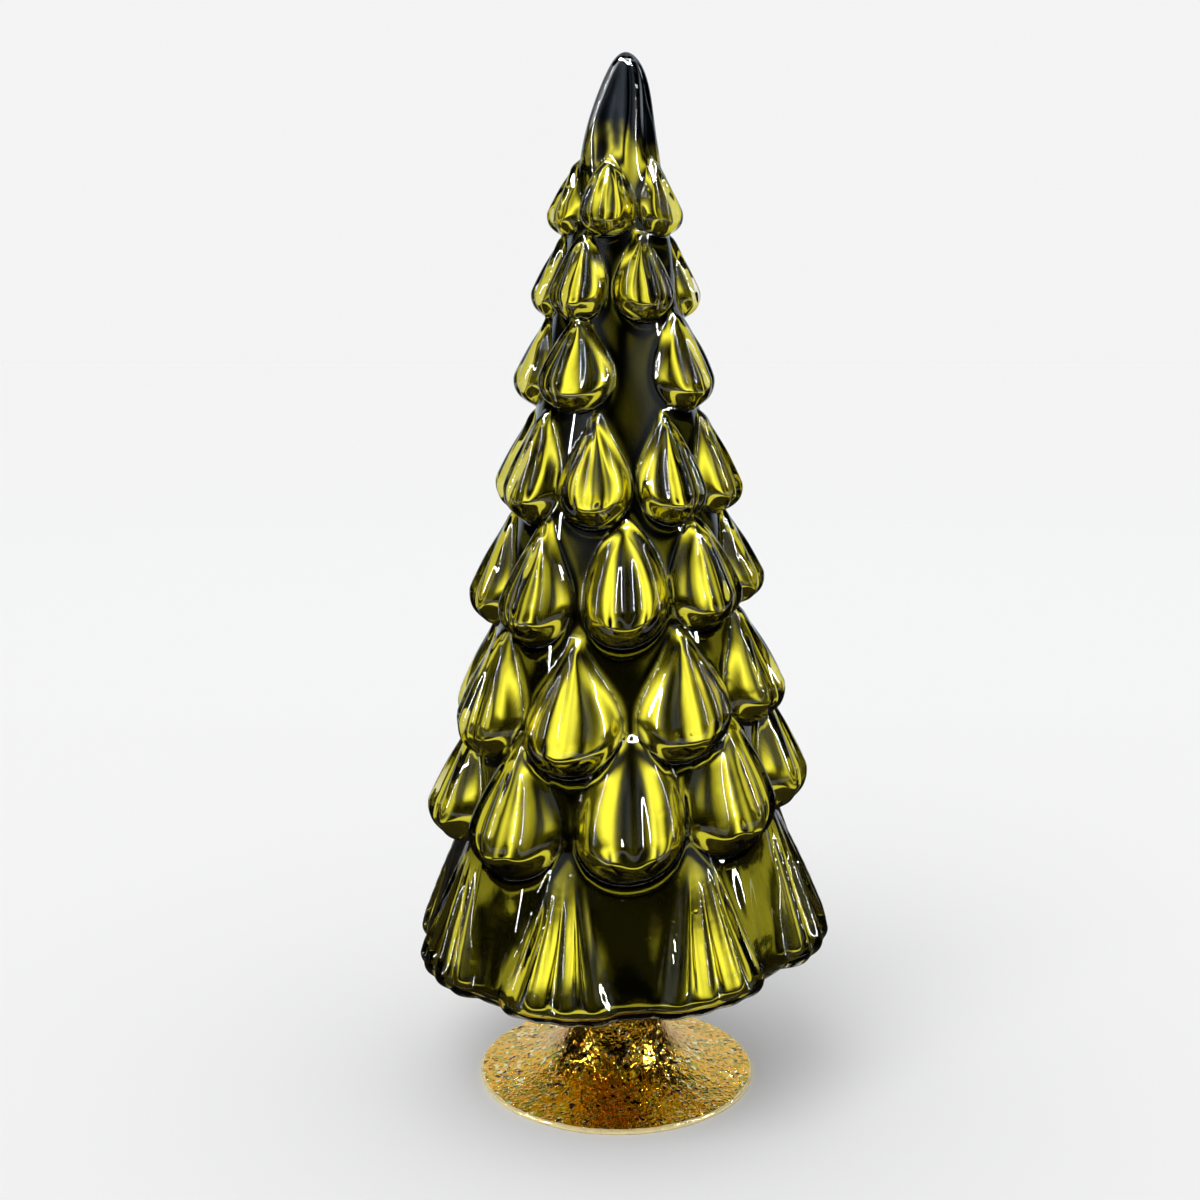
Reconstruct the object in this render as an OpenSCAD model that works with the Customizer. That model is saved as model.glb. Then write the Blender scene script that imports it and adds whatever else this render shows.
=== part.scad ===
// Blown-glass table tree on a gilded trumpet foot.
// The tree is a hollow glass shell with tiers of fluted boughs and a pleated skirt,
// lined with a mirror coat and cemented by its neck into the stem of the foot.
// Millimetres, +Z up, the front of the tree faces -Y, the foot stands on z = 0.

/* [Tree] */
// Height of the glass tree, from the hem to the tip
tree_h = 153.5; // [140:0.5:175]
// Radius that the body gains for each millimetre below the tip
taper = 0.19; // [0.17:0.005:0.22]
// Radius of the blunt tip
tip_r = 2.9; // [2.4:0.1:3.6]
// Length over which the tip rounds off
tip_round = 3; // [2:0.1:5]
// How far the tip leans to the right
tip_lean = 1.2; // [0:0.1:1.5]
// Height of the soft scales below the tip
scale_swell = 0.9; // [0.2:0.1:1.4]

/* [Boughs] */
// Length of a bough in the top tier
top_bough_l = 12.5; // [11:0.5:15]
// Length of a bough in the bottom tier
low_bough_l = 23.5; // [20:0.5:26]
// How far a bough of the top tier stands proud
top_swell = 3.6; // [2.5:0.1:5]
// How far a bough of the bottom tier stands proud
low_swell = 6; // [4:0.1:7]
// Width of the boughs, as a share of the most that fits
bough_fill = 1; // [0.8:0.01:1]
// Depth of the flutes on the bough of the bottom tier
flute_d = 0.7; // [0:0.05:0.9]
// How far the lower tiers ride up on the right and hang down on the left
tier_slant = 3; // [0:0.1:4]
// How far the lower tiers ride up on both sides
side_rise = 2; // [0:0.1:3]

/* [Skirt] */
// Height of the pleated skirt
skirt_h = 27; // [24:0.5:30]
// How far the skirt flares past the body
skirt_swell = 5.6; // [3:0.1:7]
// Number of pleated fans round the skirt
fans = 8; // [6:1:12]
// Depth of one pleat near the hem
pleat_d = 0.8; // [0:0.05:1]
// Radius of the rolled hem
hem_roll = 2.5; // [2.3:0.1:3.5]

/* [Glass] */
// Thickness of the blown wall
glass_wall = 1.6; // [1.3:0.1:2]
// Thickness of the mirror coat and its backing lacquer
lining_t = 0.3; // [0.2:0.05:0.4]
// Outer diameter of the blowing neck
neck_d = 10.6; // [9:0.1:12]
// Length of the neck below the tree
neck_l = 12; // [8:0.5:16]
// Wall of the neck
neck_wall = 1.4; // [1:0.1:1.8]
// How far the underside rises from the hem to the neck
under_rise = 3; // [2:0.1:5]

/* [Foot] */
// Diameter of the foot
foot_d = 49.6; // [44:0.2:60]
// Height of the foot to the top of its stem
foot_h = 25.5; // [20:0.5:32]
// Wall of the foot
foot_wall = 1.2; // [0.9:0.1:1.6]
// Thickness of the foot at its rim
rim_t = 0.9; // [0.7:0.1:1.4]
// How sharply the foot flares: the depth of the level that its curve runs out to
flare_d = 0.6; // [0.4:0.1:1.2]

/* [Cement and plug] */
// Least gap that the cement fills round the neck
cement_gap = 0.5; // [0.3:0.1:0.8]
// Height of the cement bead between the stem and the tree
bead_h = 2; // [1:0.1:3]
// Width of the flat seat that the glass has past the bead
seat_w = 0.5; // [0.2:0.1:1]
// Length of the plug in the neck
plug_l = 5; // [3:0.5:7]
// Clearance of the plug in the bore of the neck
plug_fit = 0.1; // [0.05:0.05:0.3]

/* [Hidden] */

// Each tier: share of the height below the tip, half width of a bough in degrees, and for each bough
// its turn from the front and how round its top is, from pointed at 0 to a dome at 1
TIERS = [
    [0.166, 35,
     [[-14, 0.8], [58, 0.3], [130, 0], [202, 0.6], [274, 0.2]]],
    [0.250, 28.5,
     [[23, 0.2], [108, 0.5], [186, 0], [263, 0.3], [321, 0.6]]],
    [0.341, 31,
     [[-34, 0.1], [58, 0.7], [126, 0.2], [195, 0.9], [263, 0.4]]],
    [0.456, 21.5,
     [[-14, 0.1], [32, 0.3], [78, 0.6], [123, 0], [168, 0.8], [213, 0.2], [257, 0.5], [302, 0.6]]],
    [0.574, 20.5,
     [[3.5, 1], [46, 0.7], [90, 0.2], [135, 0.5], [180, 0], [226, 0.9], [271, 0.4], [317, 0.1]]],
    [0.701, 20.5,
     [[-19, 0], [28, 0.1], [72, 0.5], [116, 0.8], [161, 0.2], [207, 0], [252, 0.7], [296, 0.3]]],
    [0.810, 19.5,
     [[4.5, 1], [44, 0.7], [86, 0.2], [132, 0.6], [181, 0.1], [229, 0.8], [277, 0.4], [320, 0.3]]]
];
last_tier = len(TIERS) - 1;
scale_count = 5;
scale_turn = 20;
// Length of the tip that leans
lean_l = 15;
slant_turn = 10;
// Share of the slant that is left at the hem
hem_slant = 0.75;
// Places along a bough, as shares of its length: where it is widest and where it stands most proud
bough_wide_at = 0.66;
bough_proud_at = 0.68;
// Width of the point at the top of a bough, as a share of its full width, and the powers of its shoulders
// where its top is pointed and where it is a dome
bough_point = 0.14;
shoulder_curve = 0.8;
dome_curve = 0.7;
// Share of its swell that a bough gains at its top edge, and the share of its length that this takes
lip_rise = 0.2;
lip_at = 0.12;
// How far the face of a bough rounds over, from flat at 0 to fully round at 1
face_round = 0.3;
// Power that rounds the sides and the bottom of a bough
bough_round = 0.6;
// Width of one flute, as a share of the half width of a bough, and the shares of the bough's length
// over which the flutes start and end
flute_w = 0.62;
flute_start = [0.08, 0.4];
flute_end = [0.86, 1];
// Turn of a fan of the skirt, its width at the top and at the hem as shares of its pitch, the number of
// its pleats, the powers that flatten its face and round its sides, and the share of the skirt's swell
// that it takes
fan_turn = -18;
fan_top = 0.2;
fan_hem = 0.8;
fan_pleats = 4;
fan_flat = 4;
fan_round = 0.6;
fan_share = 0.45;
// Power of the skirt's flare, the shares of its height over which the pleats start and over which they
// calm down at the hem, and how much they calm down
skirt_curve = 1.1;
pleat_start = [0.1, 0.6];
pleat_end = [0.85, 1];
pleat_calm = 0.9;
// Softening of the boughs on the inside of the glass, the share of a depth that the inside is set in by,
// and how many times the depth the inside stays below the tip
inner_soft = 0.62;
inner_inset = 0.8;
tip_inset = 1.5;

// Mesh of the outside and of the inside: columns across a bough, as shares of its half width,
// and rows, as shares of a tier
outer_across = [-0.98, -0.62, -0.31, 0, 0.31, 0.62, 0.98];
inner_across = [-0.6, 0, 0.6];
outer_columns = len(outer_across) + 1;
inner_columns = len(inner_across) + 1;
skirt_columns = 2 * fan_pleats + 2;
outer_rows = [0.14, 0.32, 0.5, 0.68, 0.82, 0.93, 1];
inner_rows = [0.4, 0.75, 1];
tip_rows = [0.02, 0.08, 0.18, 0.36, 0.62, 0.9];
inner_tip_rows = [0.3, 0.62, 0.9];
skirt_rows = [0.2, 0.4, 0.6, 0.8, 1];
inner_skirt_rows = [0.35, 0.7, 1];
roll_steps = [30, 60, 90];
under_rows = [0.75, 0.4];
neck_sides = 40;
// Least width that the columns of a bough gather to, as a share of its full width, and the share of its
// length from which they are even
least_half = 0.1;
even_from = 0.999;
// Difference in radius below which two diagonals count as equal, and in azimuth below which two
// columns do
even_tie = 0.000001;
turn_tie = 0.013;

// Levels and radii that the pieces share
neck_r = neck_d / 2;
bore_r = neck_r - neck_wall;
stem_r = neck_r + cement_gap + foot_wall;
seat_r = stem_r + seat_w;
foot_r = foot_d / 2;
under_z = foot_h + bead_h;
neck_z = under_z - neck_l;
hem_z = under_z - under_rise;
roll_z = hem_z + hem_roll;
tip_z = hem_z + tree_h;

// The curve of the foot is a hyperbola from the top of the stem to the rim
stem_q = foot_h + flare_d;
rim_q = rim_t + flare_d;
flare_r0 = (stem_r * stem_q - foot_r * rim_q) / (stem_q - rim_q);
flare_k = (stem_r - flare_r0) * stem_q;
foot_steps = 20;
rim_edge = rim_t / 3;

function mix(a, b, t) = a + (b - a) * t;
function ramp(a, b, x) = max(0, min(1, (x - a) / (b - a)));
function smooth(a, b, x) = let (t = ramp(a, b, x)) t * t * (3 - 2 * t);

// Sizes of tier t
function tier_z(t) = tip_z - TIERS[t][0] * tree_h;
function tier_half(t) = TIERS[t][1] * bough_fill;
function boughs(t) = TIERS[t][2];
function tier_l(t) = mix(top_bough_l, low_bough_l, t / last_tier);
function tier_swell(t) = mix(top_swell, low_swell, t / last_tier);
function tier_top(t) = tier_z(t) + bough_proud_at * tier_l(t);
function tier_foot(t) = tier_top(t) - tier_l(t);

// Radius of the plain body at height z
function body_r(z) =
    let (d = max(tip_z - z, 0))
    taper * d + tip_r * sqrt(1 - exp(-d / tip_round));

// Half width of a bough at the share v of its length, with a top as round as given, and its rise there
function bough_half(v, roundness) =
    let (rising = ramp(0, bough_wide_at, v))
    let (point = mix(bough_point, 1, pow(smooth(0, 1, rising), shoulder_curve)))
    let (dome = pow(1 - pow(1 - rising, 2), dome_curve))
    v < bough_wide_at ? mix(point, dome, roundness) : sqrt(1 - pow(ramp(bough_wide_at, 1, v), 2));
function bough_rise(v) =
    let (q = ramp(0, bough_proud_at, v))
    v < bough_proud_at
        ? lip_rise * sqrt(ramp(0, lip_at, v)) + (1 - lip_rise) * mix(q, sin(90 * q), face_round)
        : pow(1 - pow(ramp(bough_proud_at, 1, v), 2), bough_round);

// Angle from b to a, the short way round
function off(a, b) = a - b - 360 * round((a - b) / 360);

// Swell of the boughs of tier t at the azimuth a and height z
function bough_swell(a, z, t) =
    let (v = (tier_top(t) - z) / tier_l(t))
    v <= 0 || v >= 1 ? 0 :
    let (depth = flute_d * tier_swell(t) / low_swell)
    let (fluted = smooth(flute_start[0], flute_start[1], v) * (1 - smooth(flute_end[0], flute_end[1], v)))
    max([for (b = boughs(t))
        let (u = abs(off(a, b[0])) / (tier_half(t) * max(bough_half(v, b[1]), even_tie)))
        u >= 1 ? 0 :
        let (flute = depth * cos(360 * u / flute_w) * fluted)
        (tier_swell(t) + flute) * bough_rise(v) * pow(1 - u * u, bough_round)]);

// Swell of the scales under the tip
function tip_swell(a, z) =
    let (v = ramp(tip_z, tier_z(0), z))
    scale_swell * sin(180 * v) * (1 + cos(scale_count * (a - scale_turn))) / 2;

// Swell of the pleated skirt: fans that spread towards the hem
function skirt_swell_at(a, z) =
    let (v = ramp(hem_z + skirt_h, hem_z, z), pitch = 360 / fans)
    let (side = a - fan_turn - pitch * round((a - fan_turn) / pitch))
    let (u = min(1, abs(side) / (pitch / 2 * mix(fan_top, fan_hem, v))))
    let (crown = pow(1 - pow(u, fan_flat), fan_round))
    let (calm = 1 - pleat_calm * smooth(pleat_end[0], pleat_end[1], v))
    let (pleat = -pleat_d * cos(180 * fan_pleats * u) * smooth(pleat_start[0], pleat_start[1], v) * calm)
    skirt_swell * ((1 - fan_share) * pow(v, skirt_curve) + fan_share * v * crown) + pleat * crown;

// Swell of everything that stands on the plain body
function swell(a, z) =
    max(tip_swell(a, z), skirt_swell_at(a, z), max([for (t = [0:last_tier]) bough_swell(a, z, t)]));

// Radius of the outside, and of the surface that lies the depth d inside it
function shell_r(a, z, d) =
    d == 0 ? body_r(z) + swell(a, z) : body_r(z + d) - inner_inset * d + inner_soft * swell(a, z);

// Vertical slip of the lower tiers at the height z and azimuth a
function slip(a, z) =
    ramp(tier_z(3), tier_z(5), z) * mix(1, hem_slant, ramp(tier_z(last_tier), hem_z, z))
    * (tier_slant * sin(a - slant_turn) + side_rise * pow(sin(a), 2));

// How far the tip leans to the right at the height z
function lean(z) = tip_lean * smooth(tip_z - lean_l, tip_z, z);

// Point at the azimuth a, radius r and height z, which slips by the share k
function at(a, r, z, k) = [lean(z) + r * sin(a), -r * cos(a), z + k * slip(a, z)];

// Azimuths of n even columns, one of which falls on the turn
function columns(n, turn) = [for (i = [0:n - 1]) turn + 360 / n * i];

// Turn of bough k of tier t, which counts on past a full turn, and the middle of the gap before it
function bough_turn(t, k) =
    let (n = len(boughs(t))) boughs(t)[wrap(k, n)][0] + 360 * floor(k / n);
function gap_turn(t, k) = (bough_turn(t, k - 1) + bough_turn(t, k)) / 2;

// Azimuths of the columns of tier t at the height z: one in each gap between two boughs, and the
// rest across each bough, gathered towards its point. They are even below the boughs.
function tier_columns(t, z, across) =
    let (v = (tier_top(t) - z) / tier_l(t), n = len(across) + 1)
    [for (k = [0:len(boughs(t)) - 1])
        let (from = gap_turn(t, k), to = gap_turn(t, k + 1))
        each v > even_from
            ? [for (i = [0:n - 1]) mix(from, to, i / n)]
            : let (half = tier_half(t) * max(least_half, bough_half(v, boughs(t)[k][1])))
              concat([from], [for (u = across) bough_turn(t, k) + u * half])];

function body_ring(angles, z, d) = [for (a = angles) at(a, shell_r(a, z, d), z, 1)];
function round_ring(r, z) = [for (a = columns(neck_sides, 0)) at(a, r, z, 0)];

// Rings of the surface at the depth d, from the tip down to the flat seat round the neck
function tip_rings(d, rows, n) =
    let (low = tier_top(0), high = tip_z - tip_inset * d)
    concat([[at(0, 0, high, 0)]], [for (s = rows) body_ring(columns(n, scale_turn), mix(high, low, s), d)]);
function tier_rings(d, rows, across) =
    [for (t = [0:last_tier], s = rows)
        let (z = mix(t == 0 ? tier_top(0) : tier_foot(t - 1), tier_foot(t), s))
        body_ring(tier_columns(t, z, across), z, d)];
function skirt_rings(d, rows, n) =
    [for (s = rows) body_ring(columns(n * fans, fan_turn), mix(tier_foot(last_tier), roll_z, s), d)];
function roll_rings(d, n) =
    [for (b = roll_steps)
        [for (a = columns(n * fans, fan_turn))
            at(a, shell_r(a, roll_z, d) - (hem_roll - d) * (1 - cos(b)),
               roll_z - (hem_roll - d) * sin(b), 1)]];
function under_rings(d) =
    concat([for (s = under_rows)
        [for (a = columns(inner_columns * fans, fan_turn))
            at(a, mix(seat_r, shell_r(a, roll_z, d) - hem_roll + d, s),
               mix(under_z, hem_z, s) + d, s)]],
        [round_ring(seat_r, under_z + d)]);
function outer_skin() =
    concat(tip_rings(0, tip_rows, outer_columns * scale_count), tier_rings(0, outer_rows, outer_across),
           skirt_rings(0, skirt_rows, skirt_columns), roll_rings(0, skirt_columns), under_rings(0));
function inner_skin(d) =
    concat(tip_rings(d, inner_tip_rows, inner_columns * scale_count),
           tier_rings(d, inner_rows, inner_across),
           skirt_rings(d, inner_skirt_rows, inner_columns), roll_rings(d, inner_columns), under_rings(d),
           [round_ring(bore_r, under_z + d)]);
function reversed(list) = [for (i = [len(list) - 1:-1:0]) list[i]];

function wrap(i, n) = (i % n + n) % n;
function azimuth(p) = atan2(p[0] - lean(p[2]), -p[1]);
function reach(p) = norm([p[0] - lean(p[2]), p[1]]);

// Triangles between two rings with the same columns, whose first points are numbers oa and ob.
// Each square is split along its outer diagonal where side is 1, and its inner one where it is -1.
function stitch_even(oa, a, ob, b, side) =
    [for (i = [0:len(a) - 1])
        let (k = wrap(i + 1, len(a)))
        let (bulge = side * (reach(a[k]) + reach(b[i]) - reach(a[i]) - reach(b[k])))
        each bulge > even_tie
            ? [[oa + i, oa + k, ob + i], [ob + i, oa + k, ob + k]]
            : [[oa + i, oa + k, ob + k], [ob + i, oa + i, ob + k]]];

// Azimuths of a ring's points, counted on from the start angle given, with the first one again at the end
function turns_on(ring, first, start) =
    let (n = len(ring), zero = azimuth(ring[first]))
    concat([for (i = [0:n - 1])
                let (turn = azimuth(ring[wrap(first + i, n)]) - zero)
                start + turn - 360 * floor(turn / 360)],
           [start + 360]);

// Triangles between two rings of different columns: a walk round both of them by azimuth
function stitch_odd(oa, a, ob, b) =
    let (na = len(a), nb = len(b))
    let (gaps = [for (p = b) abs(off(azimuth(p), azimuth(a[0])))])
    let (first = search(min(gaps), gaps)[0])
    let (ta = turns_on(a, 0, 0), tb = turns_on(b, first, off(azimuth(b[first]), azimuth(a[0]))))
    [for (i = 0, j = 0, upper = ta[1] < tb[1] + turn_tie; i + j < na + nb;
            i = upper ? i + 1 : i, j = upper ? j : j + 1,
            upper = j == nb || (i < na && ta[i + 1] < tb[j + 1] + turn_tie))
        upper
            ? [oa + i, oa + wrap(i + 1, na), ob + wrap(first + j, nb)]
            : [ob + wrap(first + j, nb), oa + wrap(i, na), ob + wrap(first + j + 1, nb)]];
function stitch_point(oa, ob, b) = [for (j = [0:len(b) - 1]) [ob + j, oa, ob + wrap(j + 1, len(b))]];
function stitch(oa, a, ob, b, side) =
    len(a) == 1 ? stitch_point(oa, ob, b) :
    len(a) == len(b) && abs(off(azimuth(a[0]), azimuth(b[0]))) * len(a) < 180
        ? stitch_even(oa, a, ob, b, side)
        : stitch_odd(oa, a, ob, b);

// Running totals of the points in a list of rings, from the number given
function starts(rings, from) =
    [for (i = 0, sum = from; i < len(rings); sum = sum + len(rings[i]), i = i + 1) sum];
function faces_down(rings, first, side) =
    [for (i = [0:len(rings) - 2]) each stitch(first[i], rings[i], first[i + 1], rings[i + 1], side)];
function flipped(faces) = [for (f = faces) [f[0], f[2], f[1]]];

// Hollow skin between an outside and an inside, two lists of rings from the tip to the open mouth.
// The squares of the outside are split as side says, and those of the inside along their inner diagonal.
module skin(outside, inside, side) {
    outside_first = starts(outside, 0);
    inside_first = starts(inside, len([for (ring = outside) each ring]));
    mouth = len(outside) - 1;
    mouth_inside = len(inside) - 1;
    polyhedron(
        points = [for (ring = concat(outside, inside)) each ring],
        faces = concat(
            faces_down(outside, outside_first, side),
            flipped(faces_down(inside, inside_first, -1)),
            stitch(outside_first[mouth], outside[mouth],
                   inside_first[mouth_inside], inside[mouth_inside], 1)),
        convexity = 8);
}

// Points of the foot's outside and inside, both on the hyperbola, the inside shifted by the wall
function flare(q, shift) = [flare_r0 - shift + flare_k / q, q - flare_d - shift];
function flare_points(q_from, q_to, shift) =
    [for (i = [0:foot_steps]) flare(q_from * pow(q_to / q_from, i / foot_steps), shift)];
foot_outside = flare_points(stem_q, rim_q, 0);
foot_inside = flare_points(stem_q + foot_wall, flare_d + foot_wall, foot_wall);

// The blown glass: outside, neck and inside in one skin
module glass_tree() {
    color([0.60, 0.62, 0.16])
    skin(concat(outer_skin(),
                [round_ring(neck_r, under_z), round_ring(neck_r, neck_z), round_ring(bore_r, neck_z)]),
         inner_skin(glass_wall), 1);
}

// The mirror coat on the inside of the glass, open at the neck
module mirror_lining() {
    color([0.72, 0.66, 0.05])
    skin(inner_skin(glass_wall), inner_skin(glass_wall + lining_t), -1);
}

// The plug that seals the neck, a little tapered towards its inner end
module neck_plug() {
    plug_r = bore_r * cos(180 / neck_sides) - plug_fit;
    color([0.78, 0.66, 0.48])
    translate([0, 0, neck_z])
    cylinder(h = plug_l, r1 = plug_r, r2 = plug_r - plug_fit, $fn = 64);
}

// The cement: a sleeve round the neck inside the stem and a bead under the tree
module cement_bead() {
    inside = [for (p = foot_inside) if (p[1] > neck_z) p];
    color([0.90, 0.88, 0.80])
    rotate_extrude($fn = 96)
    polygon(concat(
        [[neck_r, under_z], [stem_r, under_z], [stem_r, foot_h]],
        inside,
        [[inside[len(inside) - 1][0], neck_z], [neck_r, neck_z]]));
}

// The trumpet foot, hollow from below
module gilded_foot() {
    color([0.86, 0.66, 0.22])
    rotate_extrude($fn = 96)
    polygon(concat(
        foot_outside,
        [[foot_r, rim_edge], [foot_r - rim_edge, 0]],
        reversed(foot_inside)));
}

glass_tree();
mirror_lining();
neck_plug();
cement_bead();
gilded_foot();
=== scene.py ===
"""Looks of a blown-glass table tree: clear glass over a green-gold mirror coat, on a gilded foot."""
import math
from typing import NamedTuple

import bpy
import numpy as np
from bpy.props import FloatProperty, FloatVectorProperty, IntProperty, PointerProperty
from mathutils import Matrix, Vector


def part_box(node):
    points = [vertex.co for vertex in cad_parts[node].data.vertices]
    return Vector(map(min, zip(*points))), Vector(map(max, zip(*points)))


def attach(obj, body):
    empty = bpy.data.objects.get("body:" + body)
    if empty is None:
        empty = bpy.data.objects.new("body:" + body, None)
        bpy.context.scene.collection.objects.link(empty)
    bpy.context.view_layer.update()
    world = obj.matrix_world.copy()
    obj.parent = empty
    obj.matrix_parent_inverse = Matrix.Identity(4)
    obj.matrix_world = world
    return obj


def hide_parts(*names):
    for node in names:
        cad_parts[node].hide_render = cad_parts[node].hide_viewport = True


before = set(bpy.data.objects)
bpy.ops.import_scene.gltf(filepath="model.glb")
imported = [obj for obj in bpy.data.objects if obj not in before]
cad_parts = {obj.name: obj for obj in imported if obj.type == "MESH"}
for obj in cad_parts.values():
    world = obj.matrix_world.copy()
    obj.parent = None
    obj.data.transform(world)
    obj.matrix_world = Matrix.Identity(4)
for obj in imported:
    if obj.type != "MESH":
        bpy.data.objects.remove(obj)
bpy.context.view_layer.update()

bl_info = {
    "name": "Mirrored glass tree",
    "version": (1, 0, 0),
    "blender": (4, 5, 0),
    "location": "View3D > Sidebar > Glass Tree",
    "description": "Builds a mirror-lined glass tree on a gilded foot, and the studio that it stands in",
    "category": "Add Mesh",
}

MM = 0.001
BODY = "root"

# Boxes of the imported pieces, in metres, and the bore that the plug fills with a little room
TREE_LOW, TREE_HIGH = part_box("glass_tree")
FOOT_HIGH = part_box("gilded_foot")[1]
BEAD_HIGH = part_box("cement_bead")[1]
PLUG_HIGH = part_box("neck_plug")[1]
BORE_R = PLUG_HIGH.x + 0.1 * MM

# Each tier of boughs: share of the height below the tip, half width of a bough in degrees, and for each
# bough its turn from the front and how round its top is, from pointed at 0 to a dome at 1
TIERS = (
    (0.166, 35, ((-14, 0.8), (58, 0.3), (130, 0.0), (202, 0.6), (274, 0.2))),
    (0.250, 28.5, ((23, 0.2), (108, 0.5), (186, 0.0), (263, 0.3), (321, 0.6))),
    (0.341, 31, ((-34, 0.1), (58, 0.7), (126, 0.2), (195, 0.9), (263, 0.4))),
    (
        0.456,
        21.5,
        ((-14, 0.1), (32, 0.3), (78, 0.6), (123, 0.0), (168, 0.8), (213, 0.2), (257, 0.5), (302, 0.6)),
    ),
    (
        0.574,
        20.5,
        ((3.5, 1.0), (46, 0.7), (90, 0.2), (135, 0.5), (180, 0.0), (226, 0.9), (271, 0.4), (317, 0.1)),
    ),
    (
        0.701,
        20.5,
        ((-19, 0.0), (28, 0.1), (72, 0.5), (116, 0.8), (161, 0.2), (207, 0.0), (252, 0.7), (296, 0.3)),
    ),
    (
        0.810,
        19.5,
        ((4.5, 1.0), (44, 0.7), (86, 0.2), (132, 0.6), (181, 0.1), (229, 0.8), (277, 0.4), (320, 0.3)),
    ),
)
LAST_TIER = len(TIERS) - 1
# Share of a bough's length at which it is proudest, which is where its tier's height is measured
PROUD_AT = 0.68

# Mesh of the tree's side: length and rows of the nose and where its first row lies, rows of the rolled hem
# and of the underside, and the gap between the underside's inner edge and the cement
NOSE, NOSE_ROWS, NOSE_FROM = 4 * MM, 16, 0.03
ROLL_ROWS, UNDER_ROWS, SEAT_GAP = 12, 14, 0.5 * MM
# Waves left by the blowing: the most turns round the tree, wavelength, and length of their fade at the tip
WAVE_TURNS, WAVE_LENGTH, WAVE_FADE = 9, 14 * MM, 12 * MM
# Streaks of the skirt: seed, the most turns round the tree, and wavelength
STREAK_SEED, STREAK_TURNS, STREAK_LENGTH = 5, 44, 70 * MM
# How far the soft relief may stand past the crisp one before it is sunk, and passes that smooth both steps
SOFT_PROUD, LIMIT_PASSES, SINK_PASSES = 0.7 * MM, 2, 2
# Length that a normal is at least taken to have, which keeps a division from failing
LEAST_NORMAL = 1e-12


class Relief(NamedTuple):
    """How sharply a surface follows the boughs: where they are proudest, shares of the flutes, of the top
    ridge and of the waves, the seed of the waves, rows of the mesh and passes of smoothing."""

    crest: float
    flutes: float
    ridge: float
    wave: float
    seed: int
    rows: int
    passes: int


# The outside of the glass, the same without its ridge, and what the inside and the coat are sunk from
CRISP = Relief(crest=PROUD_AT, flutes=1.0, ridge=1.0, wave=1.0, seed=3, rows=520, passes=1)
PLAIN = CRISP._replace(ridge=0.0, passes=LIMIT_PASSES)
SOFT = Relief(crest=0.79, flutes=0.4, ridge=0.0, wave=2.0, seed=11, rows=340, passes=7)

# Studio that the glass and the metal mirror. Azimuths and elevations are in degrees, and a pair of them is
# where a part of the studio starts to show or fade and where it has done so.
DOME_REACH, DOME_FOOT = 0.9, -8
FRONT_DARK, SIDE_DARK, SIDE_FADE = 0.003, 0.009, (15, 60)
BACK_WHITE, BACK_FADE = 0.9, (125, 140)
# Tall windows: azimuth, falloff to the sides and brightness
WINDOWS = ((-49, 20, 1.7), (51, 20, 1.7))
WINDOW_SILL, WINDOW_HEAD = (7, 17), (84, 76)
WINDOW_TOP, TOP_FADE = 0.85, (34, 52)
# Only for the coat: a low white band from the sides to the back, a faint level fill and a dim ceiling
LOW_SIDE, LOW_SIDE_FADE, LOW_SIDE_TOP = 0.8, (82, 96), (12, 6)
FRONT_FILL, SIDE_FILL, FILL_FADE = 0.025, 0.08, (14, 40)
FILL_LIFT, FILL_REACH = 14, (14, 6)
CEILING, CEILING_FADE = 0.012, (40, 60)
# Shares of the rest that the outside of the glass and the foot see, and its cool cast for them
OUTSIDE_FRONT, OUTSIDE_BACK, OUTSIDE_FADE = 0.30, 0.9, (100, 125)
COOL, NEUTRAL = (0.84, 0.96, 1.08), (1.0, 1.0, 1.0)
# Lamps that only the outside of the glass and the foot pick up: azimuths, elevations and brightness
LAMPS = {
    "ring_lamp": ((-105, 105), (69, 74), 160.0),
    "left_strip_lamp": ((-68, -66), (4, 60), 90.0),
    "right_strip_lamp": ((72, 74), (4, 60), 90.0),
}
LAMP_REACH, LAMP_STEPS = 0.85, 61
# Dark cards that lie over the floor: lowest and highest corner, height and tone
TABLE_FLAGS = {
    "table_flag": ((-0.8, -0.10), (0.8, -0.027)),
    "far_table_flag": ((-0.8, -0.8), (0.8, -0.19)),
    "left_table_flag": ((-0.8, -0.027), (-0.027, 0.25)),
    "right_table_flag": ((0.027, -0.027), (0.8, 0.25)),
}
TABLE_LIFT, TABLE_TONE = 2 * MM, (0.03, 0.027, 0.024)
FLOOR_REACH = 3.0


def length(name, value, about):
    """A length in metres that a user can change."""
    return FloatProperty(name=name, description=about, default=value, unit="LENGTH", precision=5)


def share(name, value, about):
    """A share from 0 to 1 that a user can change."""
    return FloatProperty(name=name, description=about, default=value, min=0.0, max=1.0, subtype="FACTOR")


def angle(name, degrees, about):
    """An angle that a user can change."""
    return FloatProperty(name=name, description=about, default=math.radians(degrees), subtype="ANGLE")


def tint(name, value, about):
    """A linear colour that a user can change."""
    return FloatVectorProperty(
        name=name, description=about, default=value, size=3, min=0.0, max=1.0, subtype="COLOR"
    )


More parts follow.
